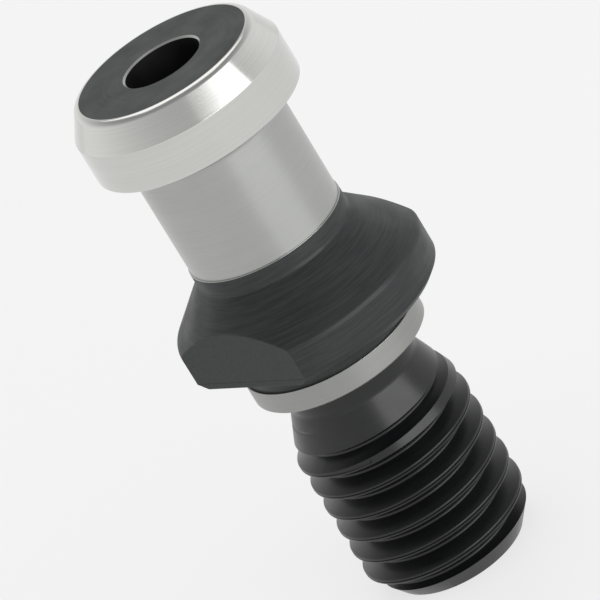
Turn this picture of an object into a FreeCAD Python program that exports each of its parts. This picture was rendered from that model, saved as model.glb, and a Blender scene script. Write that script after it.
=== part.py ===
"""Pull stud for a steep-taper tool holder, turned from one bar of steel.

Z is the stud's axis, head upwards. The origin is on the axis, in the plane of the flange's seat, which
is the face that bears on the back of the tool holder. Lengths are in millimetres, angles in degrees.
"""

import FreeCAD
import Part

import math
import os

# Head, which the drawbar's fingers pull on and its plunger pushes on
TOP_HEIGHT = 26.5          # flange seat to the head's top face
HEAD_D = 19.0
HEAD_LAND = 3.65           # length of the head's cylinder, at the rim
HEAD_CHAMFER_HEIGHT = 2.5
HEAD_CHAMFER_WIDTH = 1.35
HEAD_TOP_RADIUS = 0.7      # rounding between the top face and the chamfer
RIM_RADIUS = 0.15          # rounding at the rim's lower corner
PULL_ANGLE = 15.0          # slope of the underside, rising outwards from the neck

# Neck, ground between the fingers, and the black shank that is left at its foot
NECK_D = 14.0
NECK_FILLET = 0.8          # under the head
NECK_FOOT = 9.3            # flange seat to the end of the ground neck
SHANK_D = 14.24
SHANK_STEP_RADIUS = 0.05

# Flange with its two wrench flats
FLANGE_D = 22.8
BAND_HEIGHT = 3.5          # flange seat to the foot of the cone
CONE_ANGLE = 45.0          # from the axis, between flange and shank
CONE_FILLET = 0.6          # hollow where the cone meets the shank
SHOULDER_RADIUS = 0.8      # where the band meets the cone
SEAT_CHAMFER = 0.55
ACROSS_FLATS = 18.7

# Pilot, which centres the stud in the tool holder, with a relief above it and the waist under it
RELIEF_D = 15.7
RELIEF_LENGTH = 1.8        # flange seat to the top of the ground pilot
SEAT_RELIEF_WIDTH = 0.35   # how far the relief runs out into the seat, past the pilot
SEAT_RELIEF_DEPTH = 0.1
PILOT_D = 16.1
PILOT_LENGTH = 3.9         # flange seat to the pilot's lower end
PILOT_CHAMFER = 0.15
WAIST_D = 11.9
WAIST_END = 6.15           # flange seat to the start of the run-out cone
WAIST_FILLET = 1.0
RUN_OUT_ANGLE = 22.5       # from the axis, from the waist out to the thread

# Thread, 5/8-11 UNC, right-handed
THREAD_D = 15.66
THREADS_PER_INCH = 11
FLANK_ANGLE = 30.0
END_DEPTH = 25.15          # flange seat to the end face
END_FACE_D = 12.1
END_ANGLE = 35.0           # from the axis, of the chamfer at the end

# Coolant bore, right through
BORE_D = 6.9
BORE_CHAMFER = 0.15

INCH = 25.4
CUT_MARGIN = 1.0           # how far a cutting tool reaches past what it cuts
CREST_MARGIN = 0.1         # how far the groove's section reaches past the crest


def tan(degrees):
    return math.tan(math.radians(degrees))


def outline_corners():
    """Corners (radius, height, rounding) of the half section, from the top of the axis to its foot."""
    head, neck, shank = HEAD_D / 2, NECK_D / 2, SHANK_D / 2
    flange, relief, pilot = FLANGE_D / 2, RELIEF_D / 2, PILOT_D / 2
    seat_relief = pilot + SEAT_RELIEF_WIDTH
    waist, thread = WAIST_D / 2, THREAD_D / 2
    chamfer_foot = TOP_HEIGHT - HEAD_CHAMFER_HEIGHT
    rim = chamfer_foot - HEAD_LAND
    underside = rim - (head - neck) * tan(PULL_ANGLE)
    cone_top = BAND_HEIGHT + (flange - shank) / tan(CONE_ANGLE)
    run_out_end = WAIST_END + (thread - waist) / tan(RUN_OUT_ANGLE)
    end_chamfer = END_DEPTH - (thread - END_FACE_D / 2) / tan(END_ANGLE)
    return [
        (0, TOP_HEIGHT, 0),
        (head - HEAD_CHAMFER_WIDTH, TOP_HEIGHT, HEAD_TOP_RADIUS),
        (head, chamfer_foot, 0),
        (head, rim, RIM_RADIUS),
        (neck, underside, NECK_FILLET),
        (neck, NECK_FOOT, 0),
        (shank, NECK_FOOT, SHANK_STEP_RADIUS),
        (shank, cone_top, CONE_FILLET),
        (flange, BAND_HEIGHT, SHOULDER_RADIUS),
        (flange, SEAT_CHAMFER, 0),
        (flange - SEAT_CHAMFER, 0, 0),
        (seat_relief, 0, 0),
        (seat_relief - SEAT_RELIEF_DEPTH, SEAT_RELIEF_DEPTH, 0),
        (relief, SEAT_RELIEF_DEPTH, 0),
        (relief, -RELIEF_LENGTH, 0),
        (pilot, -RELIEF_LENGTH, 0),
        (pilot, -PILOT_LENGTH + PILOT_CHAMFER, 0),
        (pilot - PILOT_CHAMFER, -PILOT_LENGTH, 0),
        (waist, -PILOT_LENGTH, 0),
        (waist, -WAIST_END, WAIST_FILLET),
        (thread, -run_out_end, 0),
        (thread, -end_chamfer, 0),
        (END_FACE_D / 2, -END_DEPTH, 0),
        (0, -END_DEPTH, 0),
    ]


def point(radius, height):
    return FreeCAD.Vector(radius, 0, height)


def rounded_corner(before, corner, after, radius):
    """Start, middle and end of the arc that rounds a corner and is tangent to both its sides."""
    to_before = (before - corner).normalize()
    to_after = (after - corner).normalize()
    half = to_before.getAngle(to_after) / 2
    bisector = (to_before + to_after).normalize()
    centre = corner + bisector * (radius / math.sin(half))
    setback = radius / math.tan(half)
    return corner + to_before * setback, centre - bisector * radius, corner + to_after * setback


def outline_edges(corners):
    """Straight sides and corner arcs of the closed half section."""
    points = [point(radius, height) for radius, height, _ in corners]
    edges = []
    start = points[0]
    for i in range(1, len(corners) - 1):
        rounding = corners[i][2]
        if rounding:
            arc_start, middle, arc_end = rounded_corner(points[i - 1], points[i], points[i + 1], rounding)
            edges.append(Part.LineSegment(start, arc_start).toShape())
            edges.append(Part.Arc(arc_start, middle, arc_end).toShape())
            start = arc_end
        else:
            edges.append(Part.LineSegment(start, points[i]).toShape())
            start = points[i]
    edges.append(Part.LineSegment(start, points[-1]).toShape())
    edges.append(Part.LineSegment(points[-1], points[0]).toShape())
    return edges


def turned_blank():
    half_section = Part.Face(Part.Wire(outline_edges(outline_corners())))
    return half_section.revolve(FreeCAD.Vector(0, 0, 0), FreeCAD.Vector(0, 0, 1), 360)


def flat_cutters():
    """Blocks that mill the two wrench flats, facing -Y and +Y, through the flange and its cone."""
    reach = FLANGE_D / 2 + CUT_MARGIN
    depth = reach - ACROSS_FLATS / 2
    height = NECK_FOOT + CUT_MARGIN
    front = Part.makeBox(2 * reach, depth, height, FreeCAD.Vector(-reach, -reach, -CUT_MARGIN))
    back = Part.makeBox(2 * reach, depth, height, FreeCAD.Vector(-reach, ACROSS_FLATS / 2, -CUT_MARGIN))
    return [front, back]


def bore_cutter():
    """Drill through the whole stud, with a countersink that breaks the edge at each end."""
    radius = BORE_D / 2
    length = TOP_HEIGHT + END_DEPTH + 2 * CUT_MARGIN
    drill = Part.makeCylinder(radius, length, FreeCAD.Vector(0, 0, -END_DEPTH - CUT_MARGIN))
    mouth = radius + BORE_CHAMFER + CUT_MARGIN
    depth = mouth - radius
    top = Part.makeCone(radius, mouth, depth, FreeCAD.Vector(0, 0, TOP_HEIGHT - BORE_CHAMFER))
    foot = Part.makeCone(
        radius, mouth, depth, FreeCAD.Vector(0, 0, BORE_CHAMFER - END_DEPTH), FreeCAD.Vector(0, 0, -1)
    )
    return drill.fuse([top, foot])


def groove_section(pitch):
    """Corners (radius, height) of the thread's groove: narrow at the root, open at the flank angle."""
    crest_flat = pitch / 8
    depth = 17 / 24 * pitch * math.cos(math.radians(FLANK_ANGLE))
    root = THREAD_D / 2 - depth
    outside = THREAD_D / 2 + CREST_MARGIN
    half_outside = (pitch - crest_flat) / 2 + CREST_MARGIN * tan(FLANK_ANGLE)
    half_root = half_outside - (outside - root) * tan(FLANK_ANGLE)
    return [(root, -half_root), (outside, -half_outside), (outside, half_outside), (root, half_root)]


def groove_turn(pitch):
    """One right-handed turn of the groove, starting on the +X side with its section around height 0."""
    helices = []
    for radius, height in groove_section(pitch):
        helix = Part.makeHelix(pitch, pitch, radius)
        helix.translate(FreeCAD.Vector(0, 0, height))
        helices.append(helix.Edges[0])
    neighbours = helices[1:] + helices[:1]
    faces = [Part.makeRuledSurface(helix, neighbour) for helix, neighbour in zip(helices, neighbours)]
    starts = [helix.valueAt(helix.FirstParameter) for helix in helices]
    ends = [helix.valueAt(helix.LastParameter) for helix in helices]
    for section in (starts, ends):
        faces.append(Part.Face(Part.makePolygon(section + section[:1])))
    return Part.Solid(Part.Shell(faces))


def thread_cutters():
    """Turns of the groove from below the end face up to where its root leaves the run-out cone."""
    pitch = INCH / THREADS_PER_INCH
    root = groove_section(pitch)[0][0]
    leaves_cone = WAIST_END + (root - WAIST_D / 2) / tan(RUN_OUT_ANGLE)
    turns = math.ceil((END_DEPTH + pitch - leaves_cone) / pitch)
    turn = groove_turn(pitch)
    heights = [(i - 1) * pitch - END_DEPTH for i in range(turns)]
    return [turn.translated(FreeCAD.Vector(0, 0, height)) for height in heights]


def pull_stud():
    stud = turned_blank().cut(flat_cutters() + [bore_cutter()])
    return stud.cut(thread_cutters())


def main():
    os.makedirs("parts", exist_ok=True)
    pull_stud().exportStep("parts/pull_stud.step")


main()
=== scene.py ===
"""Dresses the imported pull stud: one turned steel piece with ground, blackened, milled and rolled surfaces.

Z is the stud's axis, head upwards. The origin is on the axis, in the plane of the flange's seat.
Lengths in the panel are metres, and the defaults below are written in millimetres.
"""

import math

import bpy
from bpy.props import FloatProperty, FloatVectorProperty, IntProperty, PointerProperty
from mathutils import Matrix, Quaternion, Vector


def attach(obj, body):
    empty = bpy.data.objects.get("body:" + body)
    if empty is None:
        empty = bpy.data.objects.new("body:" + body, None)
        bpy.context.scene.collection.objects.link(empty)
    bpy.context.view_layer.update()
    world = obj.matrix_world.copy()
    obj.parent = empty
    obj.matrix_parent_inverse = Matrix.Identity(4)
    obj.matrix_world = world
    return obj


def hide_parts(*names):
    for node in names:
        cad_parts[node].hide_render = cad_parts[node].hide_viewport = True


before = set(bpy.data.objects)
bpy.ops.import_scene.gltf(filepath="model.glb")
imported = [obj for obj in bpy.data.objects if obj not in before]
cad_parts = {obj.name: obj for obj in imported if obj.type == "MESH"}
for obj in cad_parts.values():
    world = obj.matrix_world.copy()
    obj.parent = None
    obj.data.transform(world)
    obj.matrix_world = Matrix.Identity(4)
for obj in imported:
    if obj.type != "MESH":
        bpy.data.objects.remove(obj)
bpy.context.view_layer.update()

bl_info = {
    "name": "Pull Stud",
    "version": (1, 0, 0),
    "blender": (4, 5, 0),
    "location": "3D View > Sidebar > Pull Stud",
    "description": "Models a pull stud for a steep-taper tool holder, with its finishes and its stage",
    "category": "Object",
}

MM = 0.001
INCH = 25.4 * MM
NODE = "pull_stud"
MERGE_GAP = 0.0001 * MM    # vertices nearer than this are the same vertex
CLOSE = 0.001 * MM         # how near a vertex lies to a corner that is looked up by its place
SMOOTH_ANGLE = math.radians(32)    # faces that meet at less than this are shaded as one
BLANK_SPARE = 0.15 * MM    # how far the blank stands proud of the crests before the thread is cut
FACING = 0.999             # a face looks straight in a direction when its normal has this share of it
UNDERSIDE = -0.9           # a face is an underside when its normal's height is less than this

# Patterns
STREAK_RADIUS = 9 * MM     # radius at which a streak of turning has its written length
WAVE_PERIOD = 0.314        # length in which a wave texture of scale 1 repeats
CUTTER_AXIS = (9 * MM, 0, 3 * MM)    # where the milling cutter turns, off to the side of each flat
TOOTH_FEED = 0.3 * MM      # distance between the passes of its teeth
DUST = 0.25 * MM           # size of the specks on milled oxide

# Studio, in metres
FLOOR_WIDTH = 4.0
HORIZON, ZENITH = 0.1, 0.9    # heights in the sky between which its white gives way to the overhead

# Name, azimuth and elevation in degrees, distance, width, height, and brightness of each lamp's face
SOFTBOXES = (
    ("key_softbox", 88, 18, 0.7, 0.8, 0.4, 2.4),
    ("top_softbox", 230, 60, 0.7, 0.5, 0.5, 1.2),
)


def linear(hex_colour):
    """Scene-linear colour of an sRGB hex value."""
    channels = (int(hex_colour[i:i + 2], 16) / 255 for i in (1, 3, 5))
    return tuple(c / 12.92 if c <= 0.04045 else ((c + 0.055) / 1.055) ** 2.4 for c in channels)


def length(name, millimetres, description):
    """A setting that is a length."""
    return FloatProperty(
        name=name, description=description, default=millimetres * MM, min=0.0, precision=5,
        subtype="DISTANCE", unit="LENGTH",
    )


def slope(name, degrees, description):
    """A setting that is an angle."""
    return FloatProperty(
        name=name, description=description, default=math.radians(degrees), subtype="ANGLE", unit="ROTATION",
    )


def colour(name, hex_colour, description):
    """A setting that is a colour."""
    return FloatVectorProperty(
        name=name, description=description, default=linear(hex_colour), min=0.0, max=1.0, subtype="COLOR",
    )


class PullStudSizes(bpy.types.PropertyGroup):
    """Sizes of the turned body, its flats and its bore."""

    top_height: length("Top height", 26.5, "Flange seat to the head's top face")
    head_diameter: length("Head diameter", 19.0, "Diameter over the head's barrel")
    head_land: length("Head land", 3.65, "Length of the head's barrel")
    head_chamfer_height: length("Head chamfer height", 2.5, "Height of the chamfer above the barrel")
    head_chamfer_width: length("Head chamfer width", 1.35, "How far the chamfer runs in")
    head_top_radius: length("Head top radius", 0.7, "Rounding between chamfer and top face")
    rim_radius: length("Rim radius", 0.15, "Rounding at the barrel's lower corner")
    pull_angle: slope("Pull angle", 15.0, "Slope of the face that the fingers pull on")
    neck_diameter: length("Neck diameter", 14.0, "Diameter of the ground neck")
    neck_fillet: length("Neck fillet", 0.8, "Hollow under the head")
    neck_foot: length("Neck foot", 9.3, "Flange seat to the end of the ground neck")
    shank_diameter: length("Shank diameter", 14.24, "Diameter of the black shank under the neck")
    flange_diameter: length("Flange diameter", 22.8, "Diameter over the flange")
    band_height: length("Band height", 3.5, "Flange seat to the foot of the cone")
    cone_angle: slope("Cone angle", 45.0, "Slope of the flange's cone, from the axis")
    cone_fillet: length("Cone fillet", 0.6, "Hollow where the cone meets the shank")
    shoulder_radius: length("Shoulder radius", 0.8, "Rounding where the band meets the cone")
    seat_chamfer: length("Seat chamfer", 0.55, "Chamfer at the flange's lower edge")
    across_flats: length("Across flats", 18.7, "Distance between the two wrench flats")
    relief_diameter: length("Relief diameter", 15.7, "Diameter between seat and pilot")
    relief_length: length("Relief length", 1.8, "Flange seat to the top of the pilot")
    seat_relief_width: length("Seat relief width", 0.35, "How far the relief runs out into the seat")
    seat_relief_depth: length("Seat relief depth", 0.1, "Depth of the relief in the seat")
    pilot_diameter: length("Pilot diameter", 16.1, "Diameter of the ground pilot")
    pilot_length: length("Pilot length", 3.9, "Flange seat to the pilot's lower end")
    pilot_chamfer: length("Pilot chamfer", 0.15, "Chamfer at the pilot's lower edge")
    waist_diameter: length("Waist diameter", 11.9, "Diameter of the waist under the pilot")
    waist_end: length("Waist end", 6.15, "Flange seat to the start of the run-out cone")
    waist_fillet: length("Waist fillet", 1.0, "Hollow between waist and run-out cone")
    run_out_angle: slope("Run-out angle", 22.5, "Slope of the run-out cone, from the axis")
    end_depth: length("End depth", 25.15, "Flange seat to the end face")
    end_face_diameter: length("End face diameter", 12.1, "Diameter of the end face")
    end_angle: slope("End angle", 35.0, "Slope of the chamfer at the end, from the axis")
    bore_diameter: length("Bore diameter", 6.9, "Diameter of the coolant bore")
    bore_chamfer: length("Bore chamfer", 0.15, "Broken edge at each end of the bore")
    edge_break: length("Edge break", 0.06, "Rounding that deburring leaves on a sharp edge")
    flat_break: length("Flat break", 0.09, "Width of the broken edge round a wrench flat")
    facets: IntProperty(name="Facets", description="Facets round the axis", default=144, min=24)


class PullStudThread(bpy.types.PropertyGroup):
    """Sizes of the rolled thread."""

    diameter: length("Diameter", 15.66, "Diameter over the crests")
    threads_per_inch: IntProperty(
        name="Threads per inch", description="Crests in one inch of length", default=11, min=1,
    )
    flank_angle: slope("Flank angle", 30.0, "Slope of each flank, from a plane across the axis")
    depth: length("Depth", 1.4165, "Crest to root")
    crest_width: length("Crest width", 0.42, "Width of a crest, over its two lips")
    crest_radius: length("Crest radius", 0.16, "Rounding of a crest's lips")
    root_radius: length("Root radius", 0.14, "Rounding at the root")
    seam_width: length("Seam width", 0.12, "Width of the seam that rolling leaves along a crest")
    seam_depth: length("Seam depth", 0.08, "Depth of that seam")


class PullStudColours(bpy.types.PropertyGroup):
    """Colours of the finishes."""

    polished: colour("Polished steel", "#CFCFCC", "Head, ground and then polished")
    ground: colour("Ground steel", "#B0B1AF", "Neck, ground between the fingers")
    pilot: colour("Pilot steel", "#9D9E9C", "Pilot, ground to fit the tool holder")
    oxide: colour("Black oxide", "#17191A", "Flange, shank and relief")
    oxide_dust: colour("Dusty oxide", "#2E3131", "Oxide on the raised turning marks")
    faced: colour("Faced oxide", "#2F3332", "Faced top of the head")
    milled: colour("Milled oxide", "#262A29", "Wrench flats")
    rolled: colour("Rolled oxide", "#08090A", "Thread and waist")
    # The bore's colour is its black oxide with painted shade: set darker than the flange's oxide, as the
    # hollow bore looks in shadow
    bored: colour("Bored oxide", "#050505", "Coolant bore")


class PullStudStage(bpy.types.PropertyGroup):
    """Camera, floor and light."""

    azimuth: slope("Azimuth", 52.7, "Camera's direction round the axis, from the front flat")
    elevation: slope("Elevation", 23.85, "Camera's height above the horizon")
    roll: slope("Roll", -31.5, "Camera's turn about its own line of sight")
    distance: length("Distance", 503.0, "Camera to the point that it circles")
    aim_height: length("Aim height", 0.645, "Height of the point that the camera circles")
    aim_left: length("Aim left", 1.118, "How far left of that point the camera looks")
    aim_up: length("Aim up", 0.853, "How far above that point the camera looks")
    focal_length: FloatProperty(
        name="Focal length", description="Camera's focal length", default=364.4, subtype="DISTANCE_CAMERA",
    )
    floor_colour: colour("Floor", "#F4F4F4", "Pale floor")
    floor_lift: FloatProperty(
        name="Floor lift", description="How far the floor's own shade gives way to the white background",
        default=0.7, min=0.0, max=1.0,
    )
    fill: FloatProperty(name="Fill", description="Strength of the even light all round", default=0.5, min=0.0)
    overhead: FloatProperty(
        name="Overhead", description="Brightness of the studio overhead, beside the white at its horizon",
        default=0.35, min=0.0,
    )


# Editing by place


def lie_bare():
    """Leaves nothing selected, so that the next primitive is the only thing that operators act on."""
    bpy.ops.object.select_all(action="DESELECT")


def only(piece):
    """Leaves just this piece selected, and active."""
    lie_bare()
    piece.select_set(True)
    bpy.context.view_layer.objects.active = piece


def edit_mode(kind):
    """Goes into edit mode, to select vertices, edges or faces."""
    bpy.ops.object.mode_set(mode="EDIT")
    bpy.ops.mesh.select_mode(type=kind)


def pick(piece, kind, test):
    """In edit mode, selects just those vertices, edges or faces that pass the test."""
    edit_mode(kind)
    bpy.ops.mesh.select_all(action="DESELECT")
    bpy.ops.object.mode_set(mode="OBJECT")
    parts = {"VERT": "vertices", "EDGE": "edges", "FACE": "polygons"}[kind]
    for part in getattr(piece.data, parts):
        part.select = test(part)
    bpy.ops.object.mode_set(mode="EDIT")


def at(radius, height):
    """Test for a vertex of an outline in the XZ plane."""
    place = Vector((radius, 0, height))
    return lambda vertex: (vertex.co - place).length < CLOSE


def setback(before, corner, after, rounding):
    """Distance from a corner to where its rounding starts."""
    to_before = (Vector(before[:2]) - Vector(corner[:2])).normalized()
    to_after = (Vector(after[:2]) - Vector(corner[:2])).normalized()
    return rounding / math.tan(to_before.angle(to_after) / 2)


def draw_outline(name, corners, closed):
    """Wire outline in the XZ plane: one vertex, extruded from corner to corner, and then rounded.

    A corner is (radius, height) or (radius, height, rounding, segments)."""
    lie_bare()
    start = corners[0]
    bpy.ops.mesh.primitive_plane_add(size=MM, location=(start[0], 0, start[1]))
    piece = bpy.context.object
    piece.name = piece.data.name = name
    bpy.ops.object.transform_apply()
    edit_mode("VERT")
    bpy.ops.mesh.select_all(action="SELECT")
    bpy.ops.mesh.merge(type="CENTER")
    for here, there in zip(corners, corners[1:]):
        step = (there[0] - here[0], 0, there[1] - here[1])
        bpy.ops.mesh.extrude_vertices_move(TRANSFORM_OT_translate={"value": step})
    if closed:
        first, last = at(*corners[0][:2]), at(*corners[-1][:2])
        pick(piece, "VERT", lambda vertex: first(vertex) or last(vertex))
        bpy.ops.mesh.edge_face_add()
    for i, corner in enumerate(corners):
        if len(corner) > 2:
            before, after = corners[i - 1], corners[(i + 1) % len(corners)]
            pick(piece, "VERT", at(*corner[:2]))
            bpy.ops.mesh.bevel(
                affect="VERTICES", offset_type="OFFSET", offset=setback(before, corner, after, corner[2]),
                segments=corner[3], profile=0.5, clamp_overlap=False,
            )
    bpy.ops.object.mode_set(mode="OBJECT")
    return piece


def close_skin(piece):
    """Merges what meets and turns every face outwards."""
    edit_mode("VERT")
    bpy.ops.mesh.select_all(action="SELECT")
    bpy.ops.mesh.remove_doubles(threshold=MERGE_GAP)
    bpy.ops.mesh.normals_make_consistent(inside=False)
    bpy.ops.object.mode_set(mode="OBJECT")


def cut_away(piece, tool):
    """Takes the tool's shape out of the piece, and then takes the tool away."""
    only(piece)
    cut = piece.modifiers.new("cut", "BOOLEAN")
    cut.operation = "DIFFERENCE"
    cut.solver = "MANIFOLD"
    cut.object = tool
    bpy.ops.object.modifier_apply(modifier=cut.name)
    only(tool)
    bpy.ops.object.delete()
    only(piece)


# The stud's shape


def blank_corners(sizes, thread):
    """Closed half section, from the bore's upper edge round the outside to its lower edge."""
    head, neck, shank = sizes.head_diameter / 2, sizes.neck_diameter / 2, sizes.shank_diameter / 2
    flange, relief, pilot = sizes.flange_diameter / 2, sizes.relief_diameter / 2, sizes.pilot_diameter / 2
    waist, end_face, bore = sizes.waist_diameter / 2, sizes.end_face_diameter / 2, sizes.bore_diameter / 2
    crest = thread.diameter / 2 + BLANK_SPARE
    chamfer_foot = sizes.top_height - sizes.head_chamfer_height
    rim = chamfer_foot - sizes.head_land
    underside = rim - (head - neck) * math.tan(sizes.pull_angle)
    cone_top = sizes.band_height + (flange - shank) / math.tan(sizes.cone_angle)
    run_out_end = sizes.waist_end + (crest - waist) / math.tan(sizes.run_out_angle)
    end_chamfer = sizes.end_depth - (crest - end_face) / math.tan(sizes.end_angle)
    seat_relief = pilot + sizes.seat_relief_width
    soft = sizes.edge_break
    return [
        (bore + sizes.bore_chamfer, sizes.top_height),
        (head - sizes.head_chamfer_width, sizes.top_height, sizes.head_top_radius, 8),
        (head, chamfer_foot, soft, 2),
        (head, rim, sizes.rim_radius, 4),
        (neck, underside, sizes.neck_fillet, 8),
        (neck, sizes.neck_foot),
        (shank, sizes.neck_foot, soft, 3),
        (shank, cone_top, sizes.cone_fillet, 6),
        (flange, sizes.band_height, sizes.shoulder_radius, 8),
        (flange, sizes.seat_chamfer, soft, 3),
        (flange - sizes.seat_chamfer, 0, soft, 3),
        (seat_relief, 0, soft, 2),
        (seat_relief - sizes.seat_relief_depth, sizes.seat_relief_depth),
        (relief, sizes.seat_relief_depth),
        (relief, -sizes.relief_length),
        (pilot, -sizes.relief_length, soft, 3),
        (pilot, sizes.pilot_chamfer - sizes.pilot_length, soft, 2),
        (pilot - sizes.pilot_chamfer, -sizes.pilot_length, soft, 2),
        (waist, -sizes.pilot_length),
        (waist, -sizes.waist_end, sizes.waist_fillet, 6),
        (crest, -run_out_end),
        (crest, -end_chamfer),
        (end_face, -sizes.end_depth, soft, 3),
        (bore + sizes.bore_chamfer, -sizes.end_depth),
        (bore, sizes.bore_chamfer - sizes.end_depth),
        (bore, sizes.top_height - sizes.bore_chamfer),
    ]


def turn_blank(sizes, thread):
    """The outline, spun round the axis."""
    blank = draw_outline("pull_stud_dressed", blank_corners(sizes, thread), closed=True)
    edit_mode("VERT")
    bpy.ops.mesh.select_all(action="SELECT")
    bpy.ops.mesh.spin(steps=sizes.facets, angle=math.tau, center=(0, 0, 0), axis=(0, 0, 1))
    close_skin(blank)
    return blank


def mill_flats(stud, sizes):
    """Bisects the flange along each wrench flat and breaks the edge round it."""
    half = sizes.across_flats / 2
    relief = sizes.relief_diameter / 2 + sizes.edge_break

    def on_flange(face):
        return -CLOSE <= face.center.z < sizes.neck_foot and face.center.xy.length > relief

    for side in (-1, 1):
        pick(stud, "FACE", on_flange)
        bpy.ops.mesh.bisect(
            plane_co=(0, side * half, 0), plane_no=(0, side, 0), use_fill=True, clear_outer=True,
            threshold=MERGE_GAP,
        )
        # The flat is the only face on its side with more than four corners
        pick(stud, "FACE", lambda face: side * face.normal.y > FACING and len(face.vertices) > 4)
        bpy.ops.mesh.region_to_loop()
        bpy.ops.mesh.bevel(
            affect="EDGES", offset_type="OFFSET", offset=sizes.flat_break, segments=2, profile=0.5,
            clamp_overlap=False,
        )
        bpy.ops.object.mode_set(mode="OBJECT")


def thread_corners(thread, pitch, middle):
    """One pitch of the thread's outline, from seam to seam, with the root at the middle height."""
    crest, root = thread.diameter / 2, thread.diameter / 2 - thread.depth
    half_crest = thread.crest_width / 2
    half_root = pitch / 2 - half_crest - thread.depth * math.tan(thread.flank_angle)
    seam = thread.seam_width / 2
    lower = [
        (crest - thread.seam_depth, middle - pitch / 2),
        (crest, middle - pitch / 2 + seam),
        (crest, middle - pitch / 2 + half_crest, thread.crest_radius, 4),
        (root, middle - half_root, thread.root_radius, 3),
    ]
    upper = [(corner[0], 2 * middle - corner[1], *corner[2:]) for corner in reversed(lower)]
    return lower + upper


def screw_rod(sizes, thread, pitch, top, foot):
    """A rod with the thread all along it, cut square at its top and at its foot."""
    lowest = sizes.end_depth + 2 * pitch
    turns = math.ceil(lowest / pitch)
    rod = draw_outline("rod", thread_corners(thread, pitch, -lowest), closed=False)
    sweep = rod.modifiers.new("sweep", "SCREW")
    sweep.axis = "Z"
    sweep.angle = math.tau
    sweep.screw_offset = pitch
    sweep.iterations = turns
    sweep.steps = sweep.render_steps = sizes.facets
    sweep.use_merge_vertices = True
    sweep.merge_threshold = MERGE_GAP
    bpy.ops.object.modifier_apply(modifier=sweep.name)
    edit_mode("VERT")
    for height, up in ((top, 1), (foot, -1)):
        bpy.ops.mesh.select_all(action="SELECT")
        bpy.ops.mesh.bisect(
            plane_co=(0, 0, height), plane_no=(0, 0, up), use_fill=True, clear_outer=True,
            threshold=MERGE_GAP,
        )
    close_skin(rod)
    return rod


def cut_thread(stud, sizes, thread):
    """Cuts the thread as a die does: with a ring that has the thread inside it."""
    pitch = INCH / thread.threads_per_inch
    overlap = pitch / 4
    top, foot = -sizes.pilot_length - 2 * overlap, -sizes.end_depth - overlap
    rod = screw_rod(sizes, thread, pitch, top + overlap, foot - overlap)
    lie_bare()
    bpy.ops.mesh.primitive_cylinder_add(
        vertices=sizes.facets, radius=sizes.flange_diameter / 2, depth=top - foot,
        location=(0, 0, (top + foot) / 2),
    )
    die = bpy.context.object
    bpy.ops.object.transform_apply()
    cut_away(die, rod)
    cut_away(stud, die)


# Materials


def node(tree, kind, inputs=None, **settings):
    """Adds a node with its settings, and sets or links each input by its name or number."""
    made = tree.nodes.new(kind)
    for name, value in settings.items():
        setattr(made, name, value)
    for name, value in (inputs or {}).items():
        if isinstance(value, bpy.types.NodeSocket):
            tree.links.new(value, made.inputs[name])
        else:
            made.inputs[name].default_value = value
    return made


def new_material(name):
    """A material with an empty tree that ends in a Principled BSDF."""
    material = bpy.data.materials.new(name)
    material.use_nodes = True
    tree = material.node_tree
    tree.nodes.clear()
    surface = node(tree, "ShaderNodeBsdfPrincipled")
    node(tree, "ShaderNodeOutputMaterial", {"Surface": surface.outputs[0]})
    return material, tree, surface


def round_the_axis(tree):
    """Radius, height and the unit direction from the axis, at each point of the stud."""
    place = node(tree, "ShaderNodeTexCoord").outputs["Object"]
    split = node(tree, "ShaderNodeSeparateXYZ", {0: place})
    flat = node(tree, "ShaderNodeVectorMath", {0: place, 1: (1, 1, 0)}, operation="MULTIPLY").outputs[0]
    radius = node(tree, "ShaderNodeVectorMath", {0: flat}, operation="LENGTH").outputs["Value"]
    outwards = node(tree, "ShaderNodeVectorMath", {0: flat}, operation="NORMALIZE").outputs[0]
    return place, radius, split.outputs["Z"], outwards


def turning_marks(tree, feed, streak, radius, height, outwards, detail=2.0):
    """Noise drawn out round the axis: lines as wide as the feed, broken at about a streak's length."""
    reach = STREAK_RADIUS / streak
    across = node(tree, "ShaderNodeMath", {0: radius, 1: 1 / feed}, operation="MULTIPLY").outputs[0]
    along = node(tree, "ShaderNodeMath", {0: height, 1: 1 / feed}, operation="MULTIPLY").outputs[0]
    lift = node(tree, "ShaderNodeCombineXYZ", {"Z": across}).outputs[0]
    line = node(
        tree, "ShaderNodeVectorMath", {0: outwards, 1: (reach,) * 3, 2: lift}, operation="MULTIPLY_ADD",
    )
    return node(
        tree, "ShaderNodeTexNoise", {"Vector": line.outputs[0], "W": along, "Scale": 1.0, "Detail": detail},
        noise_dimensions="4D",
    ).outputs["Fac"]


def grain(tree, place, size, detail=3.0):
    """Even noise with grains of a given size."""
    return node(
        tree, "ShaderNodeTexNoise", {"Vector": place, "Scale": 1 / size, "Detail": detail},
    ).outputs["Fac"]


def spread(tree, value, low, high, start=0.3, end=0.7):
    """Maps a noise from its usual range to low and high."""
    return node(tree, "ShaderNodeMapRange", {0: value, 1: start, 2: end, 3: low, 4: high}).outputs[0]


def blend_colours(tree, amount, first, second):
    """The first colour where the amount is 0, and the second where it is 1."""
    return node(tree, "ShaderNodeMixRGB", {0: amount, 1: (*first, 1), 2: (*second, 1)}).outputs[0]


def drift_roughness(tree, surface, place, roughness, share, size):
    """Lets the roughness drift by a share of itself, in soft patches of a given size."""
    rough = spread(tree, grain(tree, place, size), roughness * (1 - share), roughness * (1 + share))
    tree.links.new(rough, surface.inputs["Roughness"])


def raise_marks(tree, surface, marks, depth):
    """Gives the marks their depth in the light, by bump."""
    bump = node(tree, "ShaderNodeBump", {"Height": marks, "Distance": depth, "Strength": 1.0})
    tree.links.new(bump.outputs[0], surface.inputs["Normal"])


def shaded(tint, amount):
    """A colour made darker by an amount under 1, or lighter by one over it."""
    return tuple(channel * amount for channel in tint)


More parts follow.
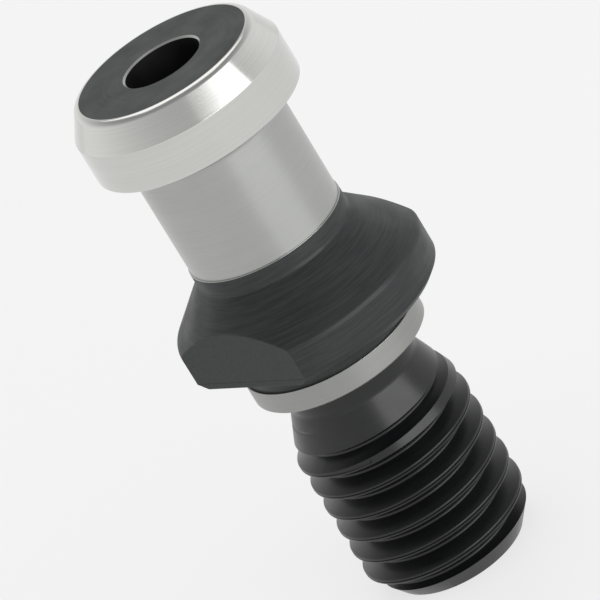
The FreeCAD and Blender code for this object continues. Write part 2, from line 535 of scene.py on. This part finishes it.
def ground_steel(name, tint, roughness, stretch, feed, depth):
    """Hardened steel, ground round the axis: hair-fine rings draw each reflection out along the axis."""
    material, tree, surface = new_material(name)
    place, radius, height, outwards = round_the_axis(tree)
    rings = turning_marks(tree, feed, 12 * MM, radius, height, outwards)
    tangent = node(tree, "ShaderNodeVectorMath", {0: (0, 0, 1), 1: outwards}, operation="CROSS_PRODUCT")
    surface.inputs["Metallic"].default_value = 1.0
    surface.inputs["Anisotropic"].default_value = stretch
    surface.inputs["Anisotropic Rotation"].default_value = 0.25
    tree.links.new(tangent.outputs[0], surface.inputs["Tangent"])
    tone = blend_colours(tree, spread(tree, rings, 0, 1), shaded(tint, 0.94), tint)
    tree.links.new(tone, surface.inputs["Base Color"])
    drift_roughness(tree, surface, place, roughness, share=0.1, size=4 * MM)
    raise_marks(tree, surface, rings, depth)
    return material


def turned_oxide(name, tint, raised, roughness, feed, streak, depth):
    """Turned steel, blackened: a thin dark oxide of low sheen, paler on the crests of the tool's rings."""
    material, tree, surface = new_material(name)
    place, radius, height, outwards = round_the_axis(tree)
    rings = turning_marks(tree, feed, streak, radius, height, outwards)
    tone = blend_colours(tree, spread(tree, rings, 0, 1, 0.35, 0.75), tint, raised)
    tree.links.new(tone, surface.inputs["Base Color"])
    drift_roughness(tree, surface, place, roughness, share=0.15, size=3 * MM)
    raise_marks(tree, surface, rings, depth)
    return material


def milled_oxide(name, tint, raised):
    """Milled steel, blackened: matt, with the faint bowed passes of the cutter's teeth."""
    material, tree, surface = new_material(name)
    place = node(tree, "ShaderNodeTexCoord").outputs["Object"]
    centre = node(
        tree, "ShaderNodeMapping", {"Vector": place, "Location": CUTTER_AXIS}, vector_type="POINT",
    ).outputs[0]
    passes = node(
        tree, "ShaderNodeTexWave",
        {
            "Vector": centre, "Scale": WAVE_PERIOD / TOOTH_FEED,
            "Distortion": 1.2, "Detail": 2.0, "Detail Scale": 0.4,
        },
        wave_type="RINGS", rings_direction="Y",
    ).outputs["Fac"]
    dust = grain(tree, place, DUST, detail=4.0)
    both = node(tree, "ShaderNodeMath", {0: passes, 1: 0.25, 2: dust}, operation="MULTIPLY_ADD").outputs[0]
    tone = blend_colours(tree, spread(tree, both, 0, 1, 0.4, 0.8), tint, raised)
    tree.links.new(tone, surface.inputs["Base Color"])
    surface.inputs["Roughness"].default_value = 0.6
    raise_marks(tree, surface, both, depth=0.004 * MM)
    return material


def finishes(sizes, colours):
    """Material and test of place for each finish. A face takes the last one whose test it passes."""
    return [
        (turned_oxide("turned_oxide", colours.oxide, colours.oxide_dust,
                      roughness=0.5, feed=0.14 * MM, streak=3 * MM, depth=0.006 * MM),
         lambda place, normal: True),
        (ground_steel("ground_neck", colours.ground,
                      roughness=0.34, stretch=0.75, feed=0.12 * MM, depth=0.0012 * MM),
         lambda place, normal: place.z > sizes.neck_foot - sizes.edge_break),
        (ground_steel("polished_head", colours.polished,
                      roughness=0.16, stretch=0.6, feed=0.10 * MM, depth=0.0004 * MM),
         lambda place, normal: place.z > sizes.neck_foot and place.xy.length > sizes.shank_diameter / 2),
        (turned_oxide("faced_oxide", colours.faced, shaded(colours.faced, 1.5),
                      roughness=0.6, feed=0.2 * MM, streak=6 * MM, depth=0.003 * MM),
         lambda place, normal: place.z > sizes.top_height - CLOSE and normal.z > FACING),
        (ground_steel("ground_pilot", colours.pilot,
                      roughness=0.4, stretch=0.5, feed=0.10 * MM, depth=0.0015 * MM),
         lambda place, normal: -sizes.pilot_length < place.z < -sizes.relief_length + CLOSE
         and place.xy.length > sizes.relief_diameter / 2 and normal.z > UNDERSIDE),
        (milled_oxide("milled_oxide", colours.milled, shaded(colours.milled, 1.6)),
         lambda place, normal: abs(normal.y) > FACING and abs(abs(place.y) - sizes.across_flats / 2) < CLOSE),
        (turned_oxide("rolled_oxide", colours.rolled, shaded(colours.rolled, 2),
                      roughness=0.3, feed=0.2 * MM, streak=8 * MM, depth=0.003 * MM),
         lambda place, normal: place.z < -sizes.pilot_length - CLOSE),
        # Bore: black oxide darkened with painted shade of the hollow, darker than the flange's oxide
        (turned_oxide("bored_oxide", colours.bored, shaded(colours.bored, 2),
                      roughness=0.5, feed=0.2 * MM, streak=8 * MM, depth=0.003 * MM),
         lambda place, normal: place.xy.length < sizes.bore_diameter / 2 + CLOSE),
    ]


def finish_faces(stud, layers):
    """Assigns each finish to the faces that pass its test, in order."""
    stud.data.materials.clear()
    for number, (material, test) in enumerate(layers):
        stud.data.materials.append(material)
        pick(stud, "FACE", lambda face: test(face.center, face.normal))
        stud.active_material_index = number
        bpy.ops.object.material_slot_assign()
        bpy.ops.object.mode_set(mode="OBJECT")


class PULLSTUD_OT_stud(bpy.types.Operator):
    """Turn, mill, thread and finish the pull stud"""

    bl_idname = "pullstud.stud"
    bl_label = "Pull Stud"

    def execute(self, context):
        scene = context.scene
        sizes, thread, colours = scene.pull_stud_sizes, scene.pull_stud_thread, scene.pull_stud_colours
        stud = turn_blank(sizes, thread)
        mill_flats(stud, sizes)
        cut_thread(stud, sizes, thread)
        close_skin(stud)
        finish_faces(stud, finishes(sizes, colours))
        bpy.ops.object.shade_smooth_by_angle(angle=SMOOTH_ANGLE)
        weigh = stud.modifiers.new("weigh", "WEIGHTED_NORMAL")
        weigh.keep_sharp = True
        bpy.ops.object.modifier_apply(modifier=weigh.name)
        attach(stud, "root")
        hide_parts(NODE)
        return {"FINISHED"}


def seen_directly(tree, path):
    """1 for rays that show the background, to the camera, in metal or through glass, and 0 for the rest."""
    both = node(
        tree, "ShaderNodeMath", {0: path["Is Camera Ray"], 1: path["Is Glossy Ray"]}, operation="MAXIMUM",
    ).outputs[0]
    return node(
        tree, "ShaderNodeMath", {0: both, 1: path["Is Transmission Ray"]}, operation="MAXIMUM",
    ).outputs[0]


def direction(azimuth, elevation):
    """Unit vector from the stud towards something, with azimuth 0 at the front flat."""
    return Vector((
        math.sin(azimuth) * math.cos(elevation),
        -math.cos(azimuth) * math.cos(elevation),
        math.sin(elevation),
    ))


def lay_floor(stage, sizes):
    """A pale floor under the stud's end face, lifted towards the white of the background."""
    lie_bare()
    bpy.ops.mesh.primitive_plane_add(size=FLOOR_WIDTH, location=(0, 0, -sizes.end_depth))
    floor = bpy.context.object
    floor.name = "floor"
    bpy.ops.object.transform_apply()
    material = bpy.data.materials.new("pale_floor")
    material.use_nodes = True
    tree = material.node_tree
    tree.nodes.clear()
    seen = seen_directly(tree, node(tree, "ShaderNodeLightPath").outputs)
    lift = node(tree, "ShaderNodeMath", {0: seen, 1: stage.floor_lift}, operation="MULTIPLY").outputs[0]
    paper = node(tree, "ShaderNodeBsdfDiffuse", {"Color": (*stage.floor_colour, 1)}).outputs[0]
    glow = node(tree, "ShaderNodeEmission", {"Color": (1, 1, 1, 1), "Strength": 1.0}).outputs[0]
    pale = node(tree, "ShaderNodeMixShader", {0: lift, 1: paper, 2: glow}).outputs[0]
    node(tree, "ShaderNodeOutputMaterial", {"Surface": pale})
    floor.data.materials.append(material)


def light_studio(stage, scene):
    """A world that is white at its horizon and darker overhead, and an even fill."""
    world = bpy.data.worlds.new("studio")
    scene.world = world
    world.use_nodes = True
    tree = world.node_tree
    tree.nodes.clear()
    path = node(tree, "ShaderNodeLightPath").outputs
    seen = seen_directly(tree, path)
    towards = node(tree, "ShaderNodeTexCoord").outputs["Object"]
    height = node(tree, "ShaderNodeSeparateXYZ", {0: towards}).outputs["Z"]
    reflected = node(
        tree, "ShaderNodeMapRange", {0: height, 1: HORIZON, 2: ZENITH, 3: 1.0, 4: stage.overhead},
        interpolation_type="SMOOTHSTEP",
    ).outputs[0]
    shown = node(
        tree, "ShaderNodeMath", {0: reflected, 1: path["Is Camera Ray"]}, operation="MAXIMUM",
    ).outputs[0]
    strength = node(tree, "ShaderNodeMapRange", {0: seen, 1: 0.0, 2: 1.0, 3: stage.fill, 4: shown}).outputs[0]
    sky = node(tree, "ShaderNodeBackground", {"Color": (1, 1, 1, 1), "Strength": strength}).outputs[0]
    node(tree, "ShaderNodeOutputWorld", {"Surface": sky})


def hang_softbox(name, azimuth, elevation, distance, width, height, brightness):
    """A flat lamp that faces the stud. Its brightness is that of its own face, beside a white of 1."""
    towards = direction(math.radians(azimuth), math.radians(elevation))
    bpy.ops.object.light_add(type="AREA", location=towards * distance)
    lamp = bpy.context.object
    lamp.name = name
    lamp.rotation_euler = towards.to_track_quat("Z", "Y").to_euler()
    lamp.data.shape = "RECTANGLE"
    lamp.data.size, lamp.data.size_y = width, height
    lamp.data.energy = brightness * math.pi * width * height


def place_camera(stage, scene):
    """A camera that circles a point of the axis, rolled, and aimed a little past that point."""
    back = direction(stage.azimuth, stage.elevation)
    centre = Vector((0, 0, stage.aim_height))
    bpy.ops.object.camera_add(location=centre + back * stage.distance)
    camera = bpy.context.object
    roll = Quaternion((0, 0, 1), stage.roll)
    turn = back.to_track_quat("Z", "Y") @ roll
    aim = centre + turn @ Vector((-stage.aim_left, stage.aim_up, 0))
    camera.rotation_euler = ((camera.location - aim).to_track_quat("Z", "Y") @ roll).to_euler()
    camera.data.lens = stage.focal_length
    scene.camera = camera


class PULLSTUD_OT_stage(bpy.types.Operator):
    """Set up the floor, the light and the camera"""

    bl_idname = "pullstud.stage"
    bl_label = "Stage"

    def execute(self, context):
        scene = context.scene
        stage = scene.pull_stud_stage
        lay_floor(stage, scene.pull_stud_sizes)
        light_studio(stage, scene)
        for softbox in SOFTBOXES:
            hang_softbox(*softbox)
        place_camera(stage, scene)
        scene.view_settings.view_transform = "Standard"
        return {"FINISHED"}


class PULLSTUD_PT_panel(bpy.types.Panel):
    """Lists the stud's operators with their sizes and colours"""

    bl_idname = "PULLSTUD_PT_panel"
    bl_label = "Pull Stud"
    bl_space_type = "VIEW_3D"
    bl_region_type = "UI"
    bl_category = "Pull Stud"

    def draw(self, context):
        for name, group in GROUPS.items():
            for setting in group.__annotations__:
                self.layout.prop(getattr(context.scene, name), setting)
        for operator in (PULLSTUD_OT_stud, PULLSTUD_OT_stage):
            self.layout.operator(operator.bl_idname)


GROUPS = {
    "pull_stud_sizes": PullStudSizes,
    "pull_stud_thread": PullStudThread,
    "pull_stud_colours": PullStudColours,
    "pull_stud_stage": PullStudStage,
}
CLASSES = (*GROUPS.values(), PULLSTUD_OT_stud, PULLSTUD_OT_stage, PULLSTUD_PT_panel)


def register():
    """Registers the classes and gives each scene its settings."""
    for made in CLASSES:
        bpy.utils.register_class(made)
    for name, group in GROUPS.items():
        setattr(bpy.types.Scene, name, PointerProperty(type=group))


def unregister():
    """Takes away what register made."""
    for name in GROUPS:
        delattr(bpy.types.Scene, name)
    for made in reversed(CLASSES):
        bpy.utils.unregister_class(made)


def main():
    """Models and stages the stud."""
    register()
    bpy.ops.pullstud.stud()
    bpy.ops.pullstud.stage()


if __name__ == "__main__":
    main()
